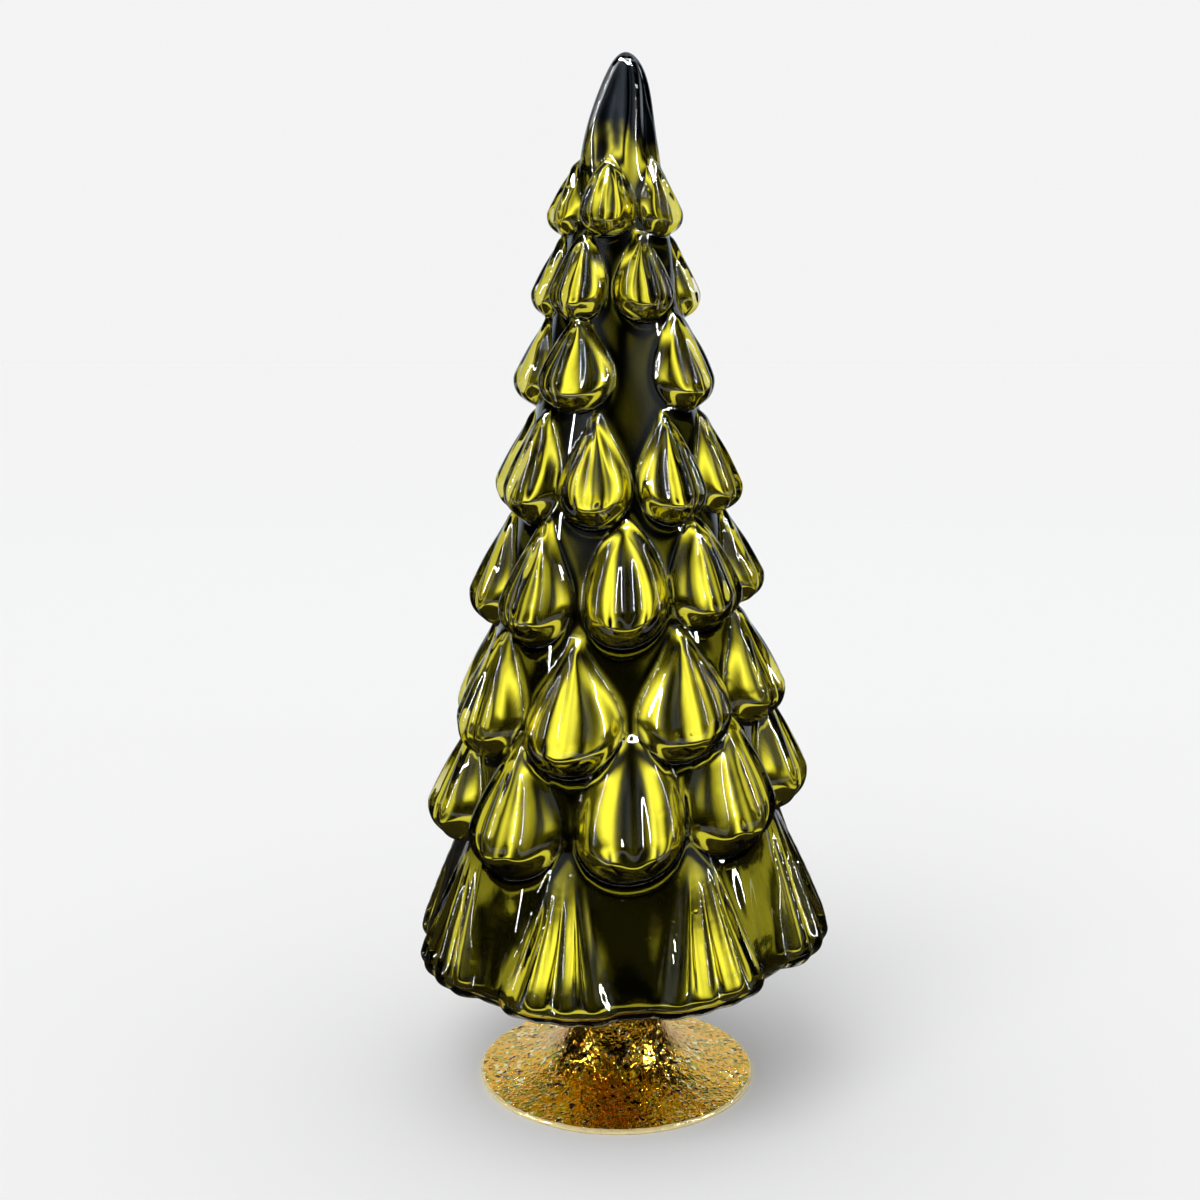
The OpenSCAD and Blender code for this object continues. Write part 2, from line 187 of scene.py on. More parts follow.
class GlassSettings(bpy.types.PropertyGroup):
    """Sizes of the blown shell."""

    under_rise: length("Underside rise", 3.0 * MM, "How far the underside rises from the hem to the neck")
    taper: FloatProperty(name="Taper", description="Radius gained per unit below the tip", default=0.19)
    tip_radius: length("Tip radius", 2.9 * MM, "Radius of the blunt tip")
    tip_round: length("Tip rounding", 3.0 * MM, "Length over which the tip rounds off")
    tip_lean: length("Tip lean", 1.2 * MM, "How far the tip leans to the right")
    lean_length: length("Lean length", 15.0 * MM, "Length over which the tip leans")
    scale_swell: length("Scale swell", 0.9 * MM, "Height of the soft scales below the tip")
    wall: length("Wall", 1.6 * MM, "Thickness of the blown wall")
    coat_depth: length("Coat depth", 1.35 * MM, "Depth of the mirror coat below the outside of the glass")
    wave: length("Wave", 0.07 * MM, "Waviness left in the glass by the blowing")
    columns: IntProperty(name="Columns", description="Columns of the mesh round the tree", default=420)


class BoughSettings(bpy.types.PropertyGroup):
    """Sizes of the boughs and of the skirt."""

    top_length: length("Top bough", 12.5 * MM, "Length of a bough in the top tier")
    low_length: length("Low bough", 23.5 * MM, "Length of a bough in the bottom tier")
    top_swell: length("Top swell", 3.6 * MM, "How far a bough of the top tier stands proud")
    low_swell: length("Low swell", 6.0 * MM, "How far a bough of the bottom tier stands proud")
    lip: share("Lip", 0.15, "Share of its swell that a bough gains at its top edge")
    ridge: length("Ridge", 0.32 * MM, "Height of the thin ridge along the top edge of a bough")
    flute: length("Flute", 0.75 * MM, "Depth of the flutes on a bough of the bottom tier")
    slant: length("Slant", 3.0 * MM, "How far the lower tiers ride up on the right and down on the left")
    side_rise: length("Side rise", 2.0 * MM, "How far the lower tiers ride up on both sides")
    skirt_height: length("Skirt height", 27.0 * MM, "Height of the pleated skirt")
    skirt_swell: length("Skirt swell", 5.6 * MM, "How far the skirt flares past the body")
    skirt_lean: length("Skirt lean", 1.0 * MM, "How much further the skirt flares on the right")
    fans: IntProperty(name="Fans", description="Pleated fans round the skirt", default=8)
    pleat: length("Pleat", 0.8 * MM, "Depth of one pleat at the hem")
    streak: length("Streak", 0.28 * MM, "Height of the soft streaks between the fans of the skirt")
    hem_roll: length("Hem roll", 2.5 * MM, "Radius of the rolled hem")


class FinishSettings(bpy.types.PropertyGroup):
    """Colours of the finishes."""

    coat: tint("Mirror coat", (0.80, 0.73, 0.045), "Green-gold of the mirror coat")
    smoke: tint("Smoke", (0.50, 0.52, 0.57), "Tint of the glass where the eye looks along its wall")
    # The slate also serves as the painted shade along the rims and undersides of the boughs
    slate: tint("Slate", (0.012, 0.015, 0.021), "Dark slate of the mirror coat at the tip")
    gold: tint("Gold leaf", (1.0, 0.49, 0.030), "Gold of the leaf on the foot")
    green: tint("Greenish leaf", (0.52, 0.40, 0.04), "Greenish crumbs of the leaf")
    pale: tint("Pale leaf", (1.0, 0.84, 0.42), "Palest flecks of the leaf")
    # The darkest flecks of the leaf are painted dark reflections
    dark_reflection: tint("Dark leaf", (0.035, 0.014, 0.003), "Darkest flecks, where the leaf is painted_dark")
    cement: tint("Cement", (0.70, 0.67, 0.56), "Set cement round the neck")
    cork: tint("Cork", (0.42, 0.26, 0.13), "Cork of the plug")


class StageSettings(bpy.types.PropertyGroup):
    """Camera and light."""

    distance: length("Camera distance", 0.280, "Distance of the camera in front of the tree's axis")
    height: length("Camera height", 0.1396, "Height of the camera above the floor")
    aside: length("Camera aside", 0.0030, "How far the camera stands to the left of the axis")
    pitch: angle("Pitch", 10.63, "Downward pitch of the camera")
    lens: FloatProperty(name="Lens", description="Focal length", default=49.32, unit="CAMERA")
    sensor: FloatProperty(name="Sensor", description="Width of the sensor", default=36.0, unit="CAMERA")
    white: share("White", 0.9, "Brightness of the background")
    ambient: FloatProperty(name="Ambient", description="Strength of the even light", default=0.772)
    sun: FloatProperty(name="Sun", description="Strength of the soft sun", default=0.926)
    sun_spread: angle("Sun spread", 40, "Angle over which the sun is spread")
    sun_forward: angle("Sun forward", 32, "How far the sun is tipped towards the front")
    sun_aside: angle("Sun aside", -22, "How far the sun is tipped to the side")


class TreeSettings(bpy.types.PropertyGroup):
    """Everything that the panel offers."""

    glass: PointerProperty(type=GlassSettings)
    boughs: PointerProperty(type=BoughSettings)
    finish: PointerProperty(type=FinishSettings)
    stage: PointerProperty(type=StageSettings)


def settings():
    """The settings that hang on the scene."""
    return bpy.context.scene.glass_tree


# Form of the tree


def mix(a, b, t):
    """A value between two."""
    return a + (b - a) * t


def ramp(a, b, x):
    """A straight rise from 0 at a to 1 at b."""
    return np.clip((x - a) / (b - a), 0.0, 1.0)


def smooth(a, b, x):
    """A rise from 0 at a to 1 at b, with soft ends."""
    t = ramp(a, b, x)
    return t * t * (3.0 - 2.0 * t)


def nearest(azimuth, turn, count):
    """Angle from the nearest of a ring of evenly spaced places."""
    pitch = 360.0 / count
    return azimuth - turn - pitch * np.round((azimuth - turn) / pitch)


def turned(columns):
    """Azimuths of evenly spaced columns, in degrees."""
    return np.arange(columns) * 360.0 / columns


class TreeForm:
    """A side of the tree as a radius over azimuth, in degrees from the front, and height."""

    # Share of its length where a bough is widest, width of a pointed top, powers of the pointed top, of the
    # domed top and of the round sides, share of the length that the lip takes, flatness of the face, and
    # the least share of its width that a bough narrows to
    WIDE_AT, POINT, POINT_CURVE, DOME_CURVE, ROUND = 0.66, 0.14, 0.8, 0.7, 0.6
    LIP_AT, FACE_FLAT, THIN = 0.06, 0.7, 1e-3
    # Flutes: width as a share of a bough's half width, and shares of the length where they start and end
    FLUTE_WIDE, FLUTE_START, FLUTE_END = 0.62, (0.08, 0.4), (0.86, 1.0)
    # The thin ridge: distance from the edge, width, and shares of the length where it starts and ends
    RIDGE_IN, RIDGE_WIDE, RIDGE_START, RIDGE_END = 0.7 * MM, 0.4 * MM, (0.02, 0.12), (0.75, 0.5)
    # Soft scales round the tip, and their turn
    SCALES, SCALE_TURN = 5, 20.0
    # A fan: turn, width at the top and at the hem, flatness, pleats, and shares of the height of its fades
    FAN_TURN, FAN_TOP, FAN_HEM, FAN_FLAT, FAN_PLEATS = -18.0, 0.2, 0.8, 4, 4
    PLEAT_START, PLEAT_END, STREAK_START = (0.1, 0.6), (0.8, 0.97), (0.15, 0.5)
    # Power of the skirt's flare, and the share of it that only the fans have
    SKIRT_CURVE, FAN_SHARE = 1.1, 0.45
    # Tiers between which the slant grows, its turn, and the share of it that the hem keeps
    LOW_TIERS, SLANT_TURN, HEM_SLANT = (3, 5), 10.0, 0.75
    # Painted shade on the coat, which darkens the rims and undersides of the boughs and the body between
    # them: share of the half width where a rim's shade starts on the top and on the bottom tier, and its
    # softness; shares of the part below the crest; rise of a bough where the shaded body between boughs
    # ends
    RIM_TOP, RIM_LOW, RIM_SOFT, RIM_UNDER, BETWEEN = 0.64, 0.8, 0.2, (0.3, 0.85), 0.12
    # Where the body's painted shade starts below the tip, shares of a fan where its plain sides start, how
    # much the plain skirt and the low tiers are shaded, and heights above the hem between which the skirt
    # ends
    MARK_START, PLAIN_AT, PLAIN_MARK, LOW_MARK = (12 * MM, 25 * MM), (0.8, 1.0), 0.75, 0.8
    SKIRT_TOP = (14 * MM, 24 * MM)

    def __init__(self, relief):
        self.relief = relief
        self.glass = settings().glass
        self.boughs = settings().boughs
        self.tip_z = TREE_HIGH.z
        self.under_z = BEAD_HIGH.z
        self.neck_z = TREE_LOW.z
        self.hem_z = self.under_z - self.glass.under_rise
        self.roll_z = self.hem_z + self.boughs.hem_roll
        self.height = self.tip_z - self.hem_z

    def tier_z(self, t):
        """Height at which the boughs of a tier are proudest."""
        return self.tip_z - TIERS[t][0] * self.height

    def low_part(self, z):
        """What a rise over the lower tiers takes: the heights of its two ends, and the height asked for."""
        return (*(self.tier_z(t) for t in self.LOW_TIERS), z)

    def body_radius(self, z):
        """Radius of the plain body under the boughs."""
        below = np.maximum(self.tip_z - z, 0.0)
        g = self.glass
        return g.taper * below + g.tip_radius * np.sqrt(1.0 - np.exp(-below / g.tip_round))

    def bough_half(self, v, roundness):
        """Share of its half width that a bough has at a share of its length."""
        rising = ramp(0, self.WIDE_AT, v)
        point = mix(self.POINT, 1.0, smooth(0, 1, rising) ** self.POINT_CURVE)
        dome = (1.0 - (1.0 - rising) ** 2) ** self.DOME_CURVE
        round_end = np.sqrt(1.0 - ramp(self.WIDE_AT, 1.0, v) ** 2)
        return np.where(v < self.WIDE_AT, mix(point, dome, roundness), round_end)

    def bough_rise(self, v):
        """Share of its swell that a bough has at a share of its length."""
        crest = self.relief.crest
        lip = self.boughs.lip
        q = ramp(0, crest, v)
        face = mix(np.sin(np.pi / 2 * q), q, self.FACE_FLAT)
        face = mix(face, np.sqrt(ramp(0, self.LIP_AT, v)), lip)
        end = (1 - ramp(crest, 1.0, v) ** 2) ** self.ROUND
        return np.where((v > 0) & (v < 1), np.where(v < crest, face, end), 0.0)

    def along(self, t, z):
        """Share of the length of a tier's boughs at a height."""
        size = mix(self.boughs.top_length, self.boughs.low_length, t / LAST_TIER)
        return (self.tier_z(t) + PROUD_AT * size - z) / size

    def across(self, azimuth, v, t, bough):
        """Share of its half width that a point lies from the middle of a bough, and that half width."""
        turn, roundness = bough
        half = TIERS[t][1] * np.maximum(self.bough_half(v, roundness), self.THIN)
        return np.clip(np.abs(nearest(azimuth, turn, 1)) / half, 0, 1), half

    def tier_swell(self, azimuth, z, t):
        """What the boughs of one tier add to the body."""
        b = self.boughs
        swell = mix(b.top_swell, b.low_swell, t / LAST_TIER)
        v = self.along(t, z)
        fan = smooth(*self.FLUTE_START, v) * (1 - smooth(*self.FLUTE_END, v))
        depth = self.relief.flutes * b.flute * swell / b.low_swell * fan
        ridge = self.relief.ridge * b.ridge * smooth(*self.RIDGE_START, v) * smooth(*self.RIDGE_END, v)
        rise = self.bough_rise(v)
        tall = np.zeros(np.broadcast(azimuth, z).shape)
        for bough in TIERS[t][2]:
            u, half = self.across(azimuth, v, t, bough)
            flute = depth * np.cos(2 * np.pi * u / self.FLUTE_WIDE)
            inside = (1 - u) * np.radians(half) * self.body_radius(z)
            edge = np.exp(-(((inside - self.RIDGE_IN) / self.RIDGE_WIDE) ** 2)) * (u < 1)
            tall = np.maximum(tall, (swell + flute) * rise * (1 - u**2) ** self.ROUND + ridge * edge)
        return tall

    def bough_shade(self, azimuth, z):
        """Painted shade: how much a point lies on the rim of a bough, and how much on the plain body
        between boughs.
        """
        best = np.zeros(np.broadcast(azimuth, z).shape)
        rim = np.zeros(best.shape)
        for t in range(len(TIERS)):
            v = self.along(t, z)
            rise = self.bough_rise(v)
            wide = mix(self.RIM_TOP, self.RIM_LOW, t / LAST_TIER)
            below = smooth(*self.RIM_UNDER, ramp(self.relief.crest, 1.0, v))
            for bough in TIERS[t][2]:
                u = self.across(azimuth, v, t, bough)[0]
                tall = rise * (1 - u**2) ** self.ROUND
                # A bough's rim and underside are darkened to slate as painted shade
                mark = np.maximum(smooth(wide, wide + self.RIM_SOFT, u), below)
                rim = np.where(tall > best, mark, rim)
                best = np.maximum(best, tall)
        start, full = self.MARK_START
        # The body between boughs is darkened as painted shade, less on the plain skirt and the low tiers
        between = (1 - smooth(0.0, self.BETWEEN, best)) * smooth(self.tip_z - start, self.tip_z - full, z)
        plain = self.PLAIN_MARK * smooth(*self.PLAIN_AT, self.fan_share(azimuth, z))
        between = between * mix(plain, 1.0, smooth(*self.SKIRT_TOP, z - self.hem_z))
        return rim, between * mix(1.0, self.LOW_MARK, smooth(*self.low_part(z)))

    def fan_share(self, azimuth, z):
        """Share of a fan's half width that a point of the skirt lies from the middle of the fan."""
        b = self.boughs
        v = ramp(self.hem_z + b.skirt_height, self.hem_z, z)
        half = 180.0 / b.fans * mix(self.FAN_TOP, self.FAN_HEM, v)
        return np.clip(np.abs(nearest(azimuth, self.FAN_TURN, b.fans)) / half, 0, 1)

    def tip_swell(self, azimuth, z):
        """What the soft scales below the tip add to the body."""
        v = ramp(self.tip_z, self.tier_z(0), z)
        ridge = (1 + np.cos(np.radians(self.SCALES * (azimuth - self.SCALE_TURN)))) / 2
        return self.glass.scale_swell * np.sin(np.pi * v) * ridge

    def skirt_swell(self, azimuth, z):
        """What the skirt adds to the body, with the pleats of its fans and the streaks between them."""
        b = self.boughs
        v = ramp(self.hem_z + b.skirt_height, self.hem_z, z)
        u = self.fan_share(azimuth, z)
        crown = (1 - u**self.FAN_FLAT) ** self.ROUND
        pleat = -self.relief.flutes * b.pleat * np.cos(np.pi * self.FAN_PLEATS * u)
        pleat = pleat * smooth(*self.PLEAT_START, v) * crown
        streaks = waves(azimuth, z, STREAK_SEED, b.streak, STREAK_TURNS, STREAK_LENGTH)
        streaks = streaks * (1 - crown) * smooth(*self.STREAK_START, v)
        swell = b.skirt_swell + b.skirt_lean * np.sin(np.radians(azimuth))
        flare = mix(v**self.SKIRT_CURVE, v * crown, self.FAN_SHARE)
        return swell * flare + (pleat + streaks) * (1 - smooth(*self.PLEAT_END, v))

    def lean(self, z):
        """How far the tip leans to the right."""
        return self.glass.tip_lean * smooth(self.glass.lean_length, 0, self.tip_z - z)

    def swell(self, azimuth, z):
        """All that stands on the plain body."""
        tall = np.maximum(self.tip_swell(azimuth, z), self.skirt_swell(azimuth, z))
        for t in range(len(TIERS)):
            tall = np.maximum(tall, self.tier_swell(azimuth, z, t))
        return tall

    def slip(self, azimuth, z):
        """How far a point of the lower tiers is shifted up."""
        grow = ramp(*self.low_part(z))
        fade = mix(1.0, self.HEM_SLANT, ramp(self.tier_z(LAST_TIER), self.hem_z, z))
        slant = self.boughs.slant * np.sin(np.radians(azimuth - self.SLANT_TURN))
        return grow * fade * (slant + self.boughs.side_rise * np.sin(np.radians(azimuth)) ** 2)


def relaxed(values, passes):
    """Values over rows and columns, averaged with their neighbours; the columns close on themselves."""
    for _ in range(passes):
        around = (np.roll(values, 1, 1) + np.roll(values, -1, 1) + 2 * values) / 4
        padded = np.vstack([around[:1], around, around[-1:]])
        values = (padded[:-2] + padded[2:] + 2 * padded[1:-1]) / 4
    return values


def waves(azimuth, z, seed, size, turns, wavelength, count=24):
    """A smooth random field round the tree: waves of random phase, up to so many turns round it."""
    rng = np.random.default_rng(seed)
    total = np.zeros(np.broadcast(azimuth, z).shape)
    for _ in range(count):
        around = rng.integers(0, turns + 1)
        along = rng.uniform(-1, 1) * 2 * np.pi / wavelength
        total += np.cos(np.radians(azimuth) * around + z * along + rng.uniform(0, 2 * np.pi))
    return total * size / math.sqrt(count / 2)


def placed(azimuth, radius, z):
    """Points from azimuths, radii and heights, of which the last two have the same shape."""
    a = np.radians(azimuth)
    return np.stack([radius * np.sin(a), -radius * np.cos(a), z], -1)


def side_radius(form, azimuth, z):
    """Radius of the tree's side over rows and columns."""
    relief = form.relief
    lift = relaxed(form.swell(azimuth, z), relief.passes)
    fade = smooth(0, WAVE_FADE, form.tip_z - z)
    size = form.glass.wave * relief.wave
    return form.body_radius(z) + lift + fade * waves(azimuth, z, relief.seed, size, WAVE_TURNS, WAVE_LENGTH)


def outside_rings(form, azimuth, limit=None):
    """Points of the tree's side from below the tip to the seat of the neck, row by row.

    With another form as a limit, they stand at most a little past that one.
    """
    roll = form.boughs.hem_roll
    nose = form.tip_z - NOSE * np.linspace(NOSE_FROM, 1, NOSE_ROWS) ** 2
    body = np.linspace(nose[-1], form.roll_z, form.relief.rows)[1:]
    z = np.concatenate([nose, body])[:, None]
    radius = side_radius(form, azimuth, z)
    if limit is not None:
        radius = np.minimum(radius, side_radius(limit, azimuth, z) + SOFT_PROUD)
        radius = relaxed(radius, LIMIT_PASSES)
    side = placed(azimuth, radius, z + form.slip(azimuth, z))
    side[..., 0] += form.lean(z)
    hem = radius[-1:]
    turn = np.linspace(0, np.pi / 2, ROLL_ROWS)[1:, None]
    roll_r = hem - roll * (1 - np.cos(turn))
    roll_z = form.roll_z - roll * np.sin(turn)
    rolled = placed(azimuth, roll_r, roll_z + form.slip(azimuth, roll_z))
    inward = np.linspace(1, 0, UNDER_ROWS)[1:, None]
    under_r = mix(BEAD_HIGH.x + SEAT_GAP, hem - roll, inward)
    under_z = mix(form.under_z, form.hem_z, inward)
    sag = inward * form.slip(azimuth, np.full_like(inward, form.hem_z))
    under = placed(azimuth, under_r, under_z + sag)
    return np.concatenate([side, rolled, under])


def sunk(rings, depth):
    """The rings moved inward along their own normals, then relaxed."""
    across = np.roll(rings, -1, 1) - np.roll(rings, 1, 1)
    down = np.gradient(rings, axis=0)
    normal = np.cross(down, across)
    normal /= np.maximum(np.linalg.norm(normal, axis=-1, keepdims=True), LEAST_NORMAL)
    inner = rings - depth * normal
    return np.stack([relaxed(inner[..., k], SINK_PASSES) for k in range(3)], -1)


def tube_rings(azimuth, profile):
    """Rings of a turned profile, a list of radius and height."""
    one = np.ones_like(azimuth)
    return np.stack([placed(azimuth, one * r, one * z) for r, z in profile])


def over(ring, rise):
    """A point above the middle of a ring."""
    x, y, z = ring.mean(0)
    return (x, y, z + rise)


def linked(name, points, faces):
    """A new mesh object in the scene."""
    mesh = bpy.data.meshes.new(name)
    mesh.from_pydata(points, [], faces)
    piece = bpy.data.objects.new(name, mesh)
    bpy.context.scene.collection.objects.link(piece)
    return piece


def lofted(name, rings, first=None, last=None):
    """A smooth mesh over rings of the same number of points, closed by a point at either end if given."""
    count, columns = rings.shape[:2]
    points = [tuple(p) for p in rings.reshape(-1, 3).tolist()]
    row, column = np.meshgrid(np.arange(count - 1), np.arange(columns), indexing="ij")
    here = row * columns + column
    beside = row * columns + (column + 1) % columns
    faces = np.stack([here, here + columns, beside + columns, beside], -1).reshape(-1, 4).tolist()
    if first is not None:
        faces += [(len(points), k, (k + 1) % columns) for k in range(columns)]
        points.append(tuple(first))
    if last is not None:
        base = (count - 1) * columns
        faces += [(len(points), base + (k + 1) % columns, base + k) for k in range(columns)]
        points.append(tuple(last))
    piece = linked(name, points, faces)
    piece.data.polygons.foreach_set("use_smooth", [True] * len(piece.data.polygons))
    piece.data.validate()
    return piece


def painted(piece, layer_name, colours):
    """Writes a colour to each point of a mesh."""
    layer = piece.data.color_attributes.new(layer_name, "FLOAT_COLOR", "POINT")
    layer.data.foreach_set("color", colours.ravel())


def dressed(piece, material, node):
    """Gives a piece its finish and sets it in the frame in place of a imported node."""
    piece.data.materials.append(material)
    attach(piece, BODY)
    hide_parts(node)


# Finishes


class Wire:
    """An output in a node tree. Arithmetic on it adds Math nodes."""

    def __init__(self, finish, socket):
        self.finish = finish
        self.socket = socket

    def other(self, name):
        """Another output of the same node."""
        return Wire(self.finish, self.socket.node.outputs[name])

    def _maths(self, operation, *values):
        return self.finish.add("ShaderNodeMath", {"operation": operation}, dict(enumerate(values)))

    def __add__(self, value):
        return self._maths("ADD", self, value)

    __radd__ = __add__

    def __sub__(self, value):
        return self._maths("SUBTRACT", self, value)

    def __rsub__(self, value):
        return self._maths("SUBTRACT", value, self)

    def __mul__(self, value):
        return self._maths("MULTIPLY", self, value)

    __rmul__ = __mul__

    def above(self, edge):
        """1 where the value is over an edge, else 0."""
        return self._maths("GREATER_THAN", self, edge)

    def highest(self, value):
        """The larger of two values."""
        return self._maths("MAXIMUM", self, value)


class Finish:
    """A node tree that a finish is written into."""

    def __init__(self, tree):
        self.tree = tree
        tree.nodes.clear()

    def add(self, kind, traits=None, sockets=None):
        """Adds a node, sets its traits and then its sockets, and gives its first output that is in use."""
        node = self.tree.nodes.new(kind)
        for trait, value in (traits or {}).items():
            if trait == "stops":
                self._set_stops(node.color_ramp, value)
            else:
                setattr(node, trait, value)
        for key, value in (sockets or {}).items():
            if isinstance(value, Wire):
                self.tree.links.new(value.socket, node.inputs[key])
            else:
                node.inputs[key].default_value = value
        shown = [s for s in node.outputs if s.enabled]
        return Wire(self, shown[0]) if shown else None

    @staticmethod
    def _set_stops(band, stops):
        while len(band.elements) > 1:
            band.elements.remove(band.elements[-1])
        for place, (position, colour) in enumerate(stops):
            stop = band.elements[0] if place == 0 else band.elements.new(position)
            stop.position = position
            stop.color = (*colour, 1.0)

    def blend(self, factor, first, second, kind="MIX"):
        """A colour between two, or made of two in another way."""
        first = first if isinstance(first, Wire) else (*first, 1.0)
        second = second if isinstance(second, Wire) else (*second, 1.0)
        traits = {"data_type": "RGBA", "blend_type": kind}
        return self.add("ShaderNodeMix", traits, {0: factor, 6: first, 7: second})

    def place(self):
        """Where a point lies on the piece."""
        return self.add("ShaderNodeTexCoord").other("Object")

    def scaled(self, place, scale):
        """A place stretched along the axes."""
        return self.add("ShaderNodeMapping", {}, {"Vector": place, "Scale": scale})

    def noise(self, place, scale, detail=2.0, rough=0.5):
        """Soft noise from 0 to 1."""
        sockets = {"Vector": place, "Scale": scale, "Detail": detail, "Roughness": rough}
        return self.add("ShaderNodeTexNoise", {}, sockets)

    def cells(self, place, scale):
        """Random cells, with the distance from their middle and a random colour each."""
        return self.add("ShaderNodeTexVoronoi", {"feature": "F1"}, {"Vector": place, "Scale": scale})

    def split(self, colour):
        """The red of a colour, with its green and blue as other outputs."""
        return self.add("ShaderNodeSeparateColor", {}, {0: colour})

    def paint(self, layer_name):
        """The red of a colour layer of the mesh, with its green and blue as other outputs."""
        return self.split(self.add("ShaderNodeAttribute", {"attribute_name": layer_name}))

    def bump(self, height, strength, distance):
        """A normal that follows a height."""
        sockets = {"Strength": strength, "Distance": distance, "Height": height}
        return self.add("ShaderNodeBump", {}, sockets)

    def glow(self, colour, strength=1.0):
        """A shader that gives light."""
        return self.add("ShaderNodeEmission", {}, {"Color": colour, "Strength": strength})

    def under_glass(self):
        """1 for what is mirrored under the glass, and 0 for what its outside and the foot mirror."""
        return self.add("ShaderNodeLightPath").other("Transmission Depth").above(0.5)

    def principled(self, **sockets):
        """Writes the surface as a Principled shader, with its sockets' names joined by underscores."""
        named = {key.replace("_", " "): value for key, value in sockets.items()}
        self.surface(self.add("ShaderNodeBsdfPrincipled", {}, named))

    def surface(self, shader):
        """Writes the surface as any shader."""
        self.add("ShaderNodeOutputMaterial", {}, {"Surface": shader})


def new_finish(name):
    """A new material and the finish that writes its nodes."""
    material = bpy.data.materials.new(name)
    material.use_nodes = True
    return material, Finish(material.node_tree)


def clear_glass():
    """Clear blown glass, smoky where the eye looks along the wall, with a few small pits."""
    material, f = new_finish("clear_glass")
    place = f.place()
    pit_size, pit_depth, pit_choice = 0.10, 10.0, 0.54
    pits = f.cells(place, scale=260.0)
    chosen = f.noise(place, scale=90.0).above(pit_choice)
    dent = (pit_size - pits.other("Distance")).highest(0.0) * chosen
    along = f.add("ShaderNodeLayerWeight", {}, {"Blend": 0.5}).other("Facing")
    stops = ((0.45, NEUTRAL), (0.85, tuple(settings().finish.smoke)))
    f.principled(
        Base_Color=f.add("ShaderNodeValToRGB", {"stops": stops}, {0: along}),
        Roughness=0.0,
        IOR=1.5,
        Transmission_Weight=1.0,
        Normal=f.bump(1.0 - dent * pit_depth, strength=0.6, distance=0.25 * MM),
    )
    return material


def mirror_coat():
    """Green-gold mirror that ran down the glass a little unevenly and turns to slate at the tip, with
    painted
    shade: slate along the rims and undersides of the boughs, near-black on the body between them.
    """
    material, f = new_finish("green_gold_mirror")
    tones = settings().finish
    coat = Vector(tones.coat)
    # Shares of the coat: thinner runs, the painted shade on the body between boughs, and the slate painted
    # along the rims
    thin_tone, valley_shade, rim_shade_share = 0.8, 0.035, 0.9
    slate_from, slate_full, slate_uneven = 6 * MM, 3 * MM, 30 * MM
    place = f.place()
    runs = f.noise(f.scaled(place, (1.0, 1.0, 0.25)), scale=160.0, detail=3.0)
    cloud = f.noise(place, scale=120.0, detail=3.0)
    height = f.add("ShaderNodeSeparateXYZ", {}, {0: place}).other("Z")
    slate = f.add(
        "ShaderNodeMapRange",
        {"interpolation_type": "SMOOTHSTEP"},
        {
            "Value": height + cloud * slate_uneven,
            "From Min": TREE_HIGH.z - slate_from,
            "From Max": TREE_HIGH.z + slate_full,
        },
    )
    # Painted shade on the points: red takes the rims and undersides of the boughs to slate, green darkens
    # the body between them
    painted_shade = f.paint("painted_shade")
    gold = f.blend(runs, tuple(coat * thin_tone), tuple(coat))
    body = f.blend(painted_shade.other("Green"), gold, tuple(coat * valley_shade))
    rim_shaded = f.blend(painted_shade.other("Red") * rim_shade_share, body, tuple(tones.slate))
    f.principled(
        Base_Color=f.blend(slate, rim_shaded, tuple(tones.slate)),
        Metallic=1.0,
        Roughness=0.05 + runs * 0.05,
        Normal=f.bump(runs + cloud, strength=0.22, distance=0.35 * MM),
    )
    return material


def gold_leaf():
    """Crumpled gold leaf: crumbs of plain, pale and greenish leaf, near-black flecks that are painted dark
    reflections, and a pale, less metallic band round the rim.
    """
    material, f = new_finish("gold_leaf")
    tones = settings().finish
    dark_reflection_from, pale_from, green_from, lift_from = 1.08, 0.98, 0.7, 0.66
    warp, pale_rim_uneven, pale_rim_wide, pale_rim_dull = 0.0012, 0.8 * MM, 0.1 * MM, 0.7
    place = f.place()
    bend = f.noise(place, scale=900.0, detail=3.0).other("Color")
    crumbs = f.cells(f.blend(warp, place, bend, "ADD"), scale=1500.0)
    pick = f.split(crumbs.other("Color"))
    patch = f.noise(place, scale=240.0, detail=4.0, rough=0.65)
    leaf = f.blend(pick.other("Blue").above(green_from), tuple(tones.gold), tuple(tones.green))
    pale = (pick.other("Green") * 0.8 + patch * 0.5).above(pale_from)
    leaf = f.blend(pale, leaf, tuple(tones.pale))
    # Painted dark reflections: sparse near-black flecks over the leaf
    dark_reflection = (pick * 0.7 + patch * 0.8).above(dark_reflection_from)
    leaf = f.blend(dark_reflection, leaf, tuple(tones.dark_reflection))
    flat = f.scaled(place, (1.0, 1.0, 0.0))
    reach = f.add("ShaderNodeVectorMath", {"operation": "LENGTH"}, {0: flat}).other("Value")
    # A pale, less metallic band round the rim
    pale_rim = (reach + patch * pale_rim_uneven).above(FOOT_HIGH.x - pale_rim_wide)
    crumple = f.noise(place, scale=500.0, detail=1.0)
    lifted = crumbs.other("Distance") * (0.25 + pick.above(lift_from))
    f.principled(
        Base_Color=f.blend(pale_rim, leaf, tuple(tones.pale)),
        Metallic=1.0 - pale_rim * pale_rim_dull,
        Roughness=0.06 + pick.other("Blue") * 0.08,
        Normal=f.bump(lifted + crumple * 0.6, strength=0.8, distance=0.3 * MM),
    )
    return material


